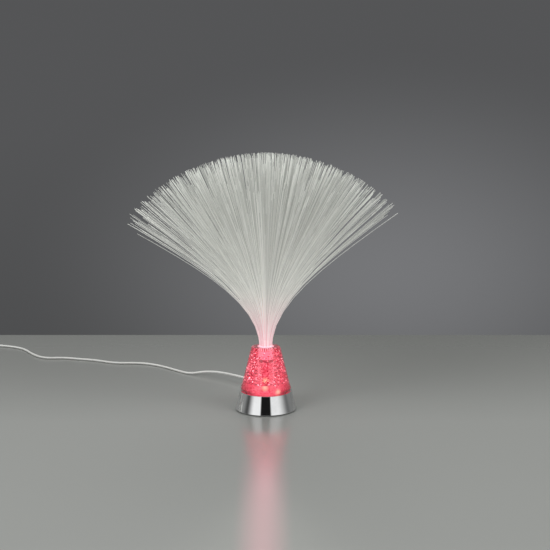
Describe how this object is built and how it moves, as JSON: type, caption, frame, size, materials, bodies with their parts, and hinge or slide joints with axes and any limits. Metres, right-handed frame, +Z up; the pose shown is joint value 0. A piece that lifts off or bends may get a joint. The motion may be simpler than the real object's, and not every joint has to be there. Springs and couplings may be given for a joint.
{
  "type": "fiber optic lamp",
  "caption": "Table lamp with a conical chromed base, a lit clear acrylic cone and a spray of plastic fibres in a turning collar, on a thin lead with a rocker switch and a plug-in adaptor.",
  "frame": {"origin": "on the table, under the middle of the lamp's base", "axes": "+Z up along the lamp's axis, +Y towards the back, where the lead leaves, +X to the right as seen from the front"},
  "size_m": [0.6605, 0.5266, 0.3297],
  "materials": {
    "chromed_shell": "mirror chrome plating",
    "black_moulding": "fine moulded grain",
    "rubber": "matte",
    "zinc_steel": "zinc plated",
    "clear_acrylic": "polished clear acrylic with glitter and bubbles, lit red from below",
    "white_moulding": "satin moulded",
    "board": "solder mask",
    "led_epoxy": "clear epoxy, lit",
    "resistor_lacquer": "lacquered",
    "core_pvc": "smooth insulation",
    "white_pvc": "smooth flexible PVC",
    "frosted_collar": "translucent, lit from inside",
    "ferrule_metal": "satin",
    "fibre_plastic": "clear drawn fibre with glowing tips",
    "brass": "nickel plated",
    "tie_plastic": "plastic covered wire"
  },
  "bodies": {
    "root": {"base_shell": "chromed_shell", "bottom_cover": "black_moulding", "rubber_feet": "rubber", "cover_screws": "zinc_steel", "acrylic_cone": "clear_acrylic", "acrylic_screws": "zinc_steel", "led_carrier": "white_moulding", "circuit_board": "board", "leds": "led_epoxy", "resistors": "resistor_lacquer", "inner_lead": "white_pvc", "supply_wires": "core_pvc", "cord_clamp": "black_moulding", "clamp_screws": "zinc_steel", "strain_relief": "white_pvc", "cord_to_switch": "white_pvc", "switch_lower_shell": "white_moulding", "switch_upper_shell": "white_moulding", "switch_contacts": "brass", "switch_screws": "zinc_steel", "cord_to_coil": "white_pvc", "cord_coil": "white_pvc", "cord_tie": "tie_plastic", "cord_to_adaptor": "white_pvc", "adaptor_strain_relief": "white_pvc", "adaptor_front_shell": "white_moulding", "adaptor_back_shell": "white_moulding", "adaptor_pins": "brass", "adaptor_pin_sleeves": "white_moulding", "adaptor_circuit": "board"},
    "collar": {"fibre_collar": "frosted_collar"},
    "spray": {"fibre_ferrule": "ferrule_metal", "fibre_root": "fibre_plastic", "fibres_centre": "fibre_plastic", "fibres_middle": "fibre_plastic", "fibres_outer": "fibre_plastic"},
    "rocker": {"switch_rocker": "white_moulding"}
  },
  "joints": [
    {"name": "collar_turn", "type": "hinge", "parent": "root", "child": "collar", "pos_m": [0, 0, 0.0735], "axis": [0, 0, 1], "continuous": true},
    {"name": "spray_lift", "type": "slide", "parent": "collar", "child": "spray", "axis": [0, 0, 1], "range_m": [0, 0.03]},
    {"name": "switch_rocker_tilt", "type": "hinge", "parent": "root", "child": "rocker", "pos_m": [-0.465, 0.271, 0.0096], "axis": [1, 0, 0], "range_deg": [0, 20]}
  ]
}
